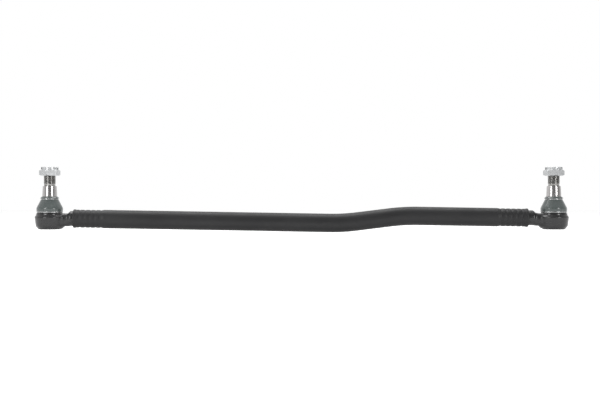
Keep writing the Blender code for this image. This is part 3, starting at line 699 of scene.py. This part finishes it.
def thread_rings(model, low, high, radius_at):
    """A helical thread surface between two heights, whose ends merge with plain rings."""
    first = math.floor((low - UNDERCUT_TOP) / THREAD_PITCH) - 1
    last = math.ceil((high - UNDERCUT_TOP) / THREAD_PITCH) + 1
    rows = []
    for turn in range(first, last + 1):
        for phase in THREAD_PROFILE:
            row = []
            for i in range(THREAD_SIDES):
                angle = 2 * math.pi * i / THREAD_SIDES
                z = UNDERCUT_TOP + THREAD_PITCH * (turn + phase + i / THREAD_SIDES)
                z = min(high, max(low, z))
                r = radius_at(z, phase)
                row.append(model.verts.new((r * math.cos(angle), r * math.sin(angle), z)))
            rows.append(row)
    lap = len(THREAD_PROFILE)
    for k, (row, following) in enumerate(zip(rows, rows[1:])):
        for i in range(THREAD_SIDES - 1):
            model.faces.new((row[i], row[i + 1], following[i + 1], following[i]))
        if k + 1 + lap < len(rows):
            model.faces.new((row[-1], rows[k + lap][0], rows[k + 1 + lap][0], following[-1]))


# Ball stud


def stud_corners():
    """The stud's outline from the foot of the thread down to the flat under the ball."""
    neck_angle = math.asin(NECK_RADIUS / BALL_RADIUS)
    flat_angle = math.acos(-BALL_FLAT / BALL_RADIUS)
    undercut_foot = TAPER_TOP + TAPER_END_RADIUS - UNDERCUT_RADIUS - 2 * STUD_CHAMFER
    seal_top = TAPER_FOOT - TAPER_FOOT_RADIUS + SEAL_RADIUS
    flare_radius = NECK_RADIUS + FLARE_SHARE * (SEAL_RADIUS - NECK_RADIUS)
    flare_height = NECK_TOP + (SEAL_FOOT - NECK_TOP) / 2
    corners = [
        (THREAD_RADIUS - THREAD_ROOT, UNDERCUT_TOP, 0),
        (UNDERCUT_RADIUS, UNDERCUT_TOP - UNDERCUT_STEP, 0),
        (UNDERCUT_RADIUS, undercut_foot, UNDERCUT_ROUNDING),
        (TAPER_END_RADIUS - STUD_CHAMFER / 2, undercut_foot, TAPER_CHAMFER_ROUNDING),
        (TAPER_END_RADIUS, TAPER_TOP, TAPER_TOP_ROUNDING),
        (TAPER_FOOT_RADIUS, TAPER_FOOT, TAPER_FOOT_ROUNDING),
        (SEAL_RADIUS, seal_top, TAPER_FOOT_ROUNDING),
        (SEAL_RADIUS, SEAL_FOOT, SEAL_ROUNDING),
        (flare_radius, flare_height, FLARE_ROUNDING),
        (NECK_RADIUS, NECK_TOP, NECK_ROUNDING),
    ]
    return rounded(corners + plain(arc(BALL_RADIUS, neck_angle, flat_angle) + [(0, -BALL_FLAT)]))


def stud_thread_radius(z, phase):
    """The stud's thread, which runs out at its foot and is chamfered at its top."""
    rise = min(1, max(0, (z - UNDERCUT_TOP) / THREAD_PITCH))
    threaded = thread_point(phase, THREAD_RADIUS)
    root = THREAD_RADIUS - THREAD_ROOT
    chamfer = THREAD_RADIUS - STUD_CHAMFER + STUD_TOP - z
    return min(root + (threaded - root) * rise, chamfer)


def make_stud(side):
    """The ball stud with its cut thread, centre hole and split-pin hole."""
    model = bmesh.new()
    rings = [ring(model, r, z, THREAD_SIDES) for r, z in stud_corners() if r >= MERGE]
    for near, far in zip(rings, rings[1:]):
        bridge(model, near, far)
    fan(model, rings[-1], (0, 0, -BALL_FLAT))
    thread_rings(model, UNDERCUT_TOP, STUD_TOP, stud_thread_radius)
    top = [(THREAD_RADIUS - STUD_CHAMFER, STUD_TOP), (CENTRE_HOLE, STUD_TOP)]
    rims = [ring(model, r, z, THREAD_SIDES) for r, z in top]
    bridge(model, *rims)
    fan(model, rims[1], (0, 0, STUD_TOP - CENTRE_HOLE))
    stud = finished(model, f"{side}_ground_stud")
    end = 2 * THREAD_RADIUS
    hole_outline = [(0, end), (PIN_HOLE_RADIUS, end), (PIN_HOLE_RADIUS, -end), (0, -end)]
    hole = turned("pin_hole", hole_outline, PIN_HOLE_SIDES)
    hole.matrix_world = (
        Matrix.Translation((0, 0, STUD_TOP - PIN_HOLE_DEPTH))
        @ Matrix.Rotation(NUT_TURN[side], 4, "Z")
        @ Matrix.Rotation(math.pi / 2, 4, "X")
    )
    combined(stud, [(hole, "DIFFERENCE")])
    placed(stud, side, GROUND_STEEL)
    # The thread and the undercut get the darker steel: painted shade in their grooves.
    stud.data.materials.append(THREAD_SHADE_STEEL)
    for face in stud.data.polygons:
        face.material_index = 1 if face.center.z > THREAD_FACES_FOOT else 0
    worn_by(stud, f"{side}_stud", f"{side}_ball_stud")


# Castle nut


def nut_blank_outline():
    """What the hexagon is turned down to: both its faces chamfered, and the crown above."""
    outer = NUT_CORNER_RADIUS + OVERCUT
    fall = (NUT_CORNER_RADIUS - NUT_FACE_RADIUS + OVERCUT) * math.tan(NUT_CHAMFER)
    shoulder = NUT_FOOT + NUT_HEX_HEIGHT
    top = NUT_FOOT + NUT_HEIGHT
    return [
        (0, top),
        (CROWN_RADIUS - CROWN_CHAMFER, top),
        (CROWN_RADIUS, top - CROWN_CHAMFER),
        (CROWN_RADIUS, shoulder),
        (NUT_FACE_RADIUS, shoulder),
        (outer, shoulder - fall),
        (outer, NUT_FOOT + fall),
        (NUT_FACE_RADIUS, NUT_FOOT),
        (0, NUT_FOOT),
    ]


def nut_thread_radius(z, phase):
    """The nut's thread, a little wider than the stud's and countersunk at both its ends."""
    threaded = thread_point(phase, THREAD_RADIUS + NUT_THREAD_PLAY)
    from_end = min(z - NUT_FOOT, NUT_FOOT + NUT_HEIGHT - z)
    return max(threaded, THREAD_RADIUS + STUD_CHAMFER - from_end)


def make_nut(side):
    """The castle nut: a hexagon bar turned, slotted, with its edges eased and its bore threaded."""
    low, high = NUT_FOOT - OVERCUT, NUT_FOOT + NUT_HEIGHT + OVERCUT
    hexagon = [(0, high), (NUT_CORNER_RADIUS, high), (NUT_CORNER_RADIUS, low), (0, low)]
    nut = turned(f"{side}_slotted_nut", hexagon, 6)
    nut.data.transform(Matrix.Rotation(NUT_TURN[side], 4, "Z"))
    tools = [(turned("nut_blank", nut_blank_outline(), NUT_SIDES), "INTERSECT")]
    floor = NUT_FOOT + NUT_HEX_HEIGHT
    half = SLOT_WIDTH / 2
    floor_corners = [(-half, floor, SLOT_ROUNDING), (half, floor, SLOT_ROUNDING)]
    slot = rounded([(-half, high, 0), *floor_corners, (half, high, 0)], True, SLOT_ARC_STEP)
    for number in range(SLOTS):
        cutter = bar("slot", slot, CROWN_RADIUS)
        turn = Matrix.Rotation(NUT_TURN[side] + 2 * math.pi * number / SLOTS, 4, "Z")
        cutter.data.transform(turn @ Matrix.Translation((CROWN_RADIUS, 0, 0)))
        tools.append((cutter, "DIFFERENCE"))
    combined(nut, tools)
    merged(nut)
    combined(nut, [(threaded_cutter(), "DIFFERENCE")])
    eased(nut, THREAD_RADIUS + STUD_CHAMFER + NUT_EDGE)
    placed(nut, side, ZINC)
    nut.modifiers.new("flat_faces", "WEIGHTED_NORMAL").keep_sharp = True
    applied(nut)
    worn_by(nut, f"{side}_stud", f"{side}_castle_nut")


def merged(obj):
    """Joins corners that almost meet and faces that lie in one plane."""
    model = bmesh.new()
    model.from_mesh(obj.data)
    bmesh.ops.remove_doubles(model, verts=model.verts, dist=NUT_MERGE)
    bmesh.ops.dissolve_limit(model, angle_limit=FLAT_ANGLE, verts=model.verts, edges=model.edges)
    bmesh.ops.dissolve_degenerate(model, dist=NUT_MERGE, edges=model.edges)
    model.to_mesh(obj.data)
    model.free()


def eased(obj, inner):
    """Rounds the sharper edges that are further out than that from the stud's axis."""
    model = bmesh.new()
    model.from_mesh(obj.data)
    edges = [edge for edge in model.edges if edge.calc_face_angle(0) > EASED_ANGLE]
    edges = [edge for edge in edges if min(v.co.to_2d().length for v in edge.verts) > inner]
    bmesh.ops.bevel(model, geom=edges, offset=NUT_EDGE, segments=2, profile=0.5, affect="EDGES")
    model.to_mesh(obj.data)
    model.free()


def threaded_cutter():
    """The nut's threaded hole as a solid."""
    model = bmesh.new()
    low, high = NUT_FOOT - OVERCUT, NUT_FOOT + NUT_HEIGHT + OVERCUT
    thread_rings(model, low, high, nut_thread_radius)
    for z in (low, high):
        fan(model, ring(model, nut_thread_radius(z, 0), z, THREAD_SIDES), (0, 0, z))
    return finished(model, "nut_bore")


# Bearing seats, spring and cap


def make_inside(side):
    """The two bearing halves, the disc spring and the closing cap."""
    ball = BALL_RADIUS + SEAT_PLAY
    outer = ball + SEAT_WALL
    slant = (bore_radius() - LIP_RADIUS) / SEAT_CONE
    top = ball * math.cos(SEAT_TOP_ANGLE)
    cone_foot = LIP_HEIGHT - LIP_LAND - SEAT_CONE - GAP
    split_angle = math.acos(SEAT_SPLIT / ball)
    foot_angle = math.acos(SEAT_FOOT / ball)
    upper = [(outer - (top - cone_foot) * slant, top), (outer, cone_foot), (outer, SEAT_SPLIT)]
    upper += arc(ball, split_angle, SEAT_TOP_ANGLE)
    lower = [(outer, -SEAT_SPLIT), (outer, SEAT_FOOT)]
    lower += arc(ball, foot_angle, math.pi - split_angle)
    spring_outer = bore_radius() - 2 * CLEARANCE
    spring_foot, spring_top = cap_top() + GAP, SEAT_FOOT - GAP
    spring = [
        (spring_outer, spring_foot + SPRING_THICKNESS, SPRING_EDGE),
        (spring_outer, spring_foot, SPRING_EDGE),
        (SPRING_OPENING, spring_top - SPRING_THICKNESS, SPRING_EDGE),
        (SPRING_OPENING, spring_top, SPRING_EDGE),
    ]
    cap_foot = cap_top() - CAP_THICKNESS
    slope_end = CAP_DISH_RADIUS + CAP_DISH_RUN
    cap = [
        (0, cap_top() - CAP_DISH, 0),
        (CAP_DISH_RADIUS, cap_top() - CAP_DISH, CAP_BEND),
        (slope_end, cap_top(), CAP_BEND),
        (cap_radius(), cap_top(), CAP_EDGE),
        (cap_radius(), cap_foot, CAP_EDGE),
        (slope_end, cap_foot, CAP_BEND),
        (CAP_DISH_RADIUS, cap_foot - CAP_DISH, CAP_BEND),
        (0, cap_foot - CAP_DISH, 0),
    ]
    made = [
        ("moulded_upper_seat", upper, BEARING_PLASTIC, "upper_seat", "bearing_plastic"),
        ("moulded_lower_seat", lower, BEARING_PLASTIC, "lower_seat", "bearing_plastic"),
        ("disc_spring", rounded(spring, True), SPRING_STEEL, "preload_spring", "spring_steel"),
        ("dished_cap", rounded(cap), PAINT, "closing_cap", "satin_black_paint"),
    ]
    for name, outline, look, node, slot in made:
        obj = placed(turned(f"{side}_{name}", outline), side, look)
        worn_by(obj, "root", f"{side}_{node}")


# Boot and rings


def groove_corners(ring_radius, height):
    """The floor of the groove that a ring lies in, down the boot's outer side."""
    top = height + RING_HEIGHT / 2 + GAP
    foot = height - RING_HEIGHT / 2 - GAP
    floor = ring_radius - RING_SECTION - GAP
    return [(floor, top, BOOT_EDGE), (floor, foot, BOOT_EDGE)]


def boot_corners():
    """The boot's wall: lip, cone and bulge outside, and the hollow inside."""
    foot = HOUSING_TOP + GAP
    lip = TAPER_FOOT - GAP
    hold = SEAL_RADIUS + GAP
    bead = BOOT_BULGE_RADIUS - RING_PROUD
    upper = groove_corners(UPPER_RING_RADIUS, UPPER_RING)
    lower = groove_corners(BOOT_BULGE_RADIUS, LOWER_RING)
    upper_top, upper_foot = [height for _, height, _ in upper]
    lower_top, lower_foot = [height for _, height, _ in lower]
    return [
        (COLLAR_RADIUS - BOOT_LIP_CHAMFER, lip, BOOT_EASE),
        (COLLAR_RADIUS, lip - BOOT_LIP_CHAMFER, BOOT_EASE),
        (COLLAR_RADIUS, upper_top, BOOT_EDGE),
        *upper,
        (CONE_TOP_RADIUS, upper_foot, BOOT_EDGE),
        (BOOT_BULGE_RADIUS - BOOT_EASE, BOOT_BULGE_HEIGHT + BOOT_WALL, BULGE_ROUNDING),
        (BOOT_BULGE_RADIUS, BOOT_BULGE_HEIGHT, BULGE_ROUNDING),
        (bead, lower_top, BOOT_EDGE),
        *lower,
        (bead, lower_foot, BOOT_EDGE),
        (bead - BOOT_EASE, foot, BOOT_EDGE),
        (SPIGOT_RADIUS + GAP, foot, BOOT_EDGE),
        (SPIGOT_RADIUS + GAP, lower_top, BOOT_EDGE),
        (BOOT_BULGE_RADIUS - BOOT_WALL, BOOT_BULGE_HEIGHT, HOLLOW_ROUNDING),
        (hold, upper_foot, HOLLOW_TOP_ROUNDING),
        (hold, lip - 2 * BOOT_WALL, BOOT_EDGE),
        (TAPER_FOOT_RADIUS + GAP, lip, BOOT_EDGE),
    ]


def wire_ring(name, outer, height):
    """A ring wound as two laps of flat wire, with square ends."""
    lap = RING_HEIGHT / WIRE_TURNS
    half = (lap - WIRE_GAP) / 2
    inner = outer - RING_SECTION
    corners = [(outer, half), (outer, -half), (inner, -half), (inner, half)]
    section = rounded([(r, z, WIRE_EDGE) for r, z in corners], True)
    model = bmesh.new()
    loops = []
    for step in range(WIRE_TURNS * SIDES):
        angle = 2 * math.pi * step / SIDES
        climb = smooth_step((step / SIDES - CLIMB_START) / CLIMB_LENGTH)
        lift = height + (climb - 0.5) * lap
        points = [(r * math.cos(angle), r * math.sin(angle), z + lift) for r, z in section]
        loops.append([model.verts.new(point) for point in points])
    for near, far in zip(loops, loops[1:]):
        bridge(model, near, far)
    model.faces.new(loops[0])
    model.faces.new(reversed(loops[-1]))
    return finished(model, name)


def make_boot(side):
    """The rubber boot, and the wire rings that hold it."""
    outline = subdivided(rounded(boot_corners(), True), BOOT_STEP)
    boot = placed(turned(f"{side}_rubber_boot", outline), side, RUBBER)
    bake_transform(boot)
    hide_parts(f"{side}_boot")
    rings = [
        ("lower", "root", BOOT_BULGE_RADIUS, LOWER_RING),
        ("upper", f"{side}_boot_lip", UPPER_RING_RADIUS, UPPER_RING),
    ]
    for end, body, radius, height in rings:
        wire = placed(wire_ring(f"{side}_{end}_wire", radius, height), side, RING_STEEL)
        worn_by(wire, body, f"{side}_boot_{end}_ring")


# Materials


def mapped(tree, value, source, target):
    """A number that goes through one range as the value goes through another."""
    node = tree.nodes.new("ShaderNodeMapRange")
    node.inputs["From Min"].default_value, node.inputs["From Max"].default_value = source
    node.inputs["To Min"].default_value, node.inputs["To Max"].default_value = target
    tree.links.new(value, node.inputs["Value"])
    return node.outputs["Result"]


class Look:
    """A material of one Principled shader, with its nodes added by short calls."""

    def __init__(self, name, roughness, metallic):
        self.material = bpy.data.materials.new(name)
        self.material.use_nodes = True
        self.tree = self.material.node_tree
        self.shader = self.tree.nodes["Principled BSDF"]
        self.shader.inputs["Roughness"].default_value = roughness
        self.shader.inputs["Metallic"].default_value = metallic
        self.place = self.tree.nodes.new("ShaderNodeTexCoord").outputs["Object"]

    def noise(self, scale, detail=3, stretch=None):
        """Noise in the object's own space, stretched by a scale for each axis."""
        node = self.tree.nodes.new("ShaderNodeTexNoise")
        node.inputs["Scale"].default_value = scale
        node.inputs["Detail"].default_value = detail
        place = self.place
        if stretch:
            mapping = self.tree.nodes.new("ShaderNodeMapping")
            mapping.inputs["Scale"].default_value = stretch
            self.tree.links.new(place, mapping.inputs["Vector"])
            place = mapping.outputs["Vector"]
        self.tree.links.new(place, node.inputs["Vector"])
        return node.outputs["Fac"]

    def ramp(self, factor, low, high):
        """A colour that goes from low to high as the noise rises."""
        node = self.tree.nodes.new("ShaderNodeValToRGB")
        first, last = node.color_ramp.elements
        first.position, last.position = NOISE_RANGE
        first.color, last.color = (*low, 1), (*high, 1)
        self.tree.links.new(factor, node.inputs["Fac"])
        return node.outputs["Color"]

    def spread(self, factor, low, high):
        """A number that goes from low to high as the noise rises."""
        return mapped(self.tree, factor, NOISE_RANGE, (low, high))

    def colour(self, low, high, scale, detail=3, stretch=None):
        """Lets the colour wander between two values."""
        made = self.ramp(self.noise(scale, detail, stretch), low, high)
        self.tree.links.new(made, self.shader.inputs["Base Color"])

    def roughness(self, low, high, scale, detail=3, stretch=None):
        """Lets the roughness wander between two values."""
        made = self.spread(self.noise(scale, detail, stretch), low, high)
        self.tree.links.new(made, self.shader.inputs["Roughness"])

    def bump(self, height, scale, strength, detail=2, stretch=None):
        """Adds a relief of that height on top of what is there."""
        node = self.tree.nodes.new("ShaderNodeBump")
        node.inputs["Distance"].default_value = height
        node.inputs["Strength"].default_value = strength
        self.tree.links.new(self.noise(scale, detail, stretch), node.inputs["Height"])
        socket = self.shader.inputs["Normal"]
        if socket.links:
            self.tree.links.new(socket.links[0].from_socket, node.inputs["Normal"])
        self.tree.links.new(node.outputs["Normal"], socket)

    def turned_grain(self, amount):
        """Stretches the highlights along Z, as on a piece ground or turned about Z."""
        tangent = self.tree.nodes.new("ShaderNodeTangent")
        tangent.direction_type = "RADIAL"
        tangent.axis = "Z"
        self.shader.inputs["Anisotropic"].default_value = amount
        self.tree.links.new(tangent.outputs["Tangent"], self.shader.inputs["Tangent"])


def satin_paint():
    """Satin black paint on drawn tube, with a slight orange peel."""
    look = Look("satin_black_paint", roughness=0.45, metallic=0)
    look.shader.inputs["Specular IOR Level"].default_value = 0.28
    look.colour((0.021, 0.021, 0.022), (0.029, 0.029, 0.030), scale=9)
    look.roughness(0.42, 0.5, scale=40)
    look.bump(0.12 * MM, scale=420, strength=0.35)
    look.bump(0.05 * MM, scale=1600, strength=0.25)
    return look.material


def forged_paint():
    """The same paint over a forging's rougher skin."""
    look = Look("painted_forging", roughness=0.24, metallic=0)
    look.shader.inputs["Specular IOR Level"].default_value = 0.55
    look.colour((0.014, 0.014, 0.015), (0.021, 0.021, 0.022), scale=30)
    look.roughness(0.21, 0.29, scale=90)
    look.bump(0.25 * MM, scale=160, strength=0.3, detail=4)
    look.bump(0.08 * MM, scale=900, strength=0.3)
    return look.material


def ground_steel():
    """Bright steel, ground round the stud."""
    look = Look("ground_taper_steel", roughness=0.24, metallic=1)
    look.colour((0.44, 0.425, 0.42), (0.54, 0.525, 0.52), scale=160, detail=2, stretch=(1, 1, 12))
    look.roughness(0.12, 0.18, scale=300, detail=2, stretch=(1, 1, 10))
    look.bump(0.01 * MM, scale=500, strength=0.3, detail=2, stretch=(1, 1, 14))
    look.turned_grain(0.55)
    return look.material


def thread_shade_steel():
    """Steel darkened as painted shade in the thread's grooves and in the undercut's recess."""
    look = Look("thread_shade_steel", roughness=0.38, metallic=1)
    look.colour((0.20, 0.198, 0.19), (0.34, 0.335, 0.325), scale=180)
    look.roughness(0.22, 0.34, scale=400)
    return look.material


def zinc_plate():
    """Bright zinc plate, a little clouded."""
    look = Look("bright_zinc", roughness=0.42, metallic=1)
    look.colour((0.50, 0.51, 0.515), (0.57, 0.58, 0.585), scale=70)
    look.roughness(0.38, 0.46, scale=120)
    look.bump(0.02 * MM, scale=900, strength=0.3)
    return look.material


def rubber():
    """Grey-green rubber with a moulded sheen."""
    look = Look("grey_green_rubber", roughness=0.22, metallic=0)
    look.shader.inputs["Specular IOR Level"].default_value = 0.6
    look.colour((0.082, 0.098, 0.095), (0.108, 0.124, 0.121), scale=60)
    look.roughness(0.17, 0.25, scale=140)
    look.bump(0.03 * MM, scale=1400, strength=0.3)
    return look.material


def ring_steel():
    """Plated spring wire."""
    look = Look("plated_ring_wire", roughness=0.3, metallic=1)
    look.colour((0.42, 0.43, 0.43), (0.52, 0.53, 0.53), scale=300)
    look.roughness(0.26, 0.36, scale=500)
    return look.material


def spring_steel():
    """Phosphated spring steel."""
    look = Look("phosphated_spring", roughness=0.45, metallic=1)
    look.colour((0.22, 0.22, 0.23), (0.32, 0.32, 0.33), scale=200)
    look.roughness(0.4, 0.55, scale=300)
    return look.material


def bearing_plastic():
    """Off-white moulded bearing plastic."""
    look = Look("moulded_bearing_plastic", roughness=0.36, metallic=0)
    look.colour((0.74, 0.73, 0.68), (0.80, 0.79, 0.74), scale=80)
    look.roughness(0.3, 0.42, scale=200)
    return look.material


# Studio


def studio_number(tree, kind, *values):
    """A math node's output, from numbers or sockets."""
    node = tree.nodes.new("ShaderNodeMath")
    node.operation = kind
    for socket, value in zip(node.inputs, values):
        if isinstance(value, (int, float)):
            socket.default_value = value
        else:
            tree.links.new(value, socket)
    return node.outputs["Value"]


def seen_directly(tree):
    """Two outputs: 1 where camera, gloss or clear surface look, and 1 where the camera looks."""
    path = tree.nodes.new("ShaderNodeLightPath").outputs
    mirrored = studio_number(tree, "MAXIMUM", path["Is Glossy Ray"], path["Is Transmission Ray"])
    return studio_number(tree, "MAXIMUM", path["Is Camera Ray"], mirrored), path["Is Camera Ray"]


def make_world():
    """White where it is seen, dimmer to the front and right in reflections, and soft as light."""
    world = bpy.data.worlds.new("studio")
    bpy.context.scene.world = world
    world.use_nodes = True
    tree = world.node_tree
    background = tree.nodes["Background"]
    background.inputs["Color"].default_value = (1, 1, 1, 1)
    seen, by_camera = seen_directly(tree)
    direction = tree.nodes.new("ShaderNodeVectorMath")
    direction.operation = "DOT_PRODUCT"
    direction.inputs[1].default_value = BRIGHT_SIDE
    tree.links.new(tree.nodes.new("ShaderNodeTexCoord").outputs["Generated"], direction.inputs[0])
    room = mapped(tree, direction.outputs["Value"], ROOM_RANGE, (FRONT_REFLECTION, 1))
    reflected = studio_number(tree, "MAXIMUM", room, by_camera)
    wanted = studio_number(tree, "MULTIPLY", seen, reflected)
    unseen = studio_number(tree, "SUBTRACT", 1, seen)
    strength = studio_number(tree, "MULTIPLY_ADD", unseen, AMBIENT, wanted)
    tree.links.new(strength, background.inputs["Strength"])


def make_floor():
    """A plain white floor that keeps the rod's shadow."""
    model = bmesh.new()
    bmesh.ops.create_grid(model, x_segments=1, y_segments=1, size=FLOOR_SIZE / 2)
    floor = finished(model, "floor")
    look = bpy.data.materials.new("white_floor")
    look.use_nodes = True
    tree = look.node_tree
    shader = tree.nodes["Principled BSDF"]
    shader.inputs["Base Color"].default_value = (FLOOR_TONE, FLOOR_TONE, FLOOR_TONE, 1)
    shader.inputs["Roughness"].default_value = FLOOR_ROUGHNESS
    shader.inputs["Specular IOR Level"].default_value = FLOOR_SPECULAR
    shader.inputs["Emission Color"].default_value = (1, 1, 1, 1)
    seen, _ = seen_directly(tree)
    glow = studio_number(tree, "MULTIPLY", seen, FLOOR_LIFT)
    tree.links.new(glow, shader.inputs["Emission Strength"])
    floor.data.materials.append(look)


def softbox(name, place, aim, width, height, power):
    """A rectangular area lamp that faces a point."""
    lamp = bpy.data.lights.new(name, "AREA")
    lamp.shape = "RECTANGLE"
    lamp.size = width
    lamp.size_y = height
    lamp.energy = power
    obj = bpy.data.objects.new(name, lamp)
    obj.location = place
    obj.rotation_euler = (Vector(aim) - Vector(place)).to_track_quat("-Z", "Y").to_euler()
    bpy.context.scene.collection.objects.link(obj)


def make_camera():
    """A level camera square to the rod, at the photograph's framing."""
    camera = bpy.data.cameras.new("camera")
    camera.sensor_width = SENSOR
    camera.lens = SENSOR * CAMERA_DISTANCE / (PICTURE_WIDTH * PIXEL)
    obj = bpy.data.objects.new("camera", camera)
    obj.location = Vector(CAMERA_AIM) - Vector((0, CAMERA_DISTANCE, 0))
    obj.rotation_euler = (math.pi / 2, 0, 0)
    bpy.context.scene.collection.objects.link(obj)
    bpy.context.scene.camera = obj


# The whole scene


def make_end(side, slope):
    """One whole end of the rod, from the rod's slope as seen from its ball."""
    make_housing(side, slope)
    make_stud(side)
    make_nut(side)
    make_inside(side)
    make_boot(side)


PAINT = satin_paint()
FORGED_PAINT = forged_paint()
GROUND_STEEL = ground_steel()
# darker steel: painted shade in the stud's thread and undercut
THREAD_SHADE_STEEL = thread_shade_steel()
ZINC = zinc_plate()
RUBBER = rubber()
RING_STEEL = ring_steel()
SPRING_STEEL = spring_steel()
BEARING_PLASTIC = bearing_plastic()

LINE = Centreline()
make_tube(LINE)
make_end("left", LINE.slope)
make_end("right", -LINE.slope)

make_floor()
make_world()
for lamp_name, lamp_values in LAMPS.items():
    softbox(lamp_name, *lamp_values)
make_camera()
bpy.context.scene.view_settings.view_transform = "Standard"
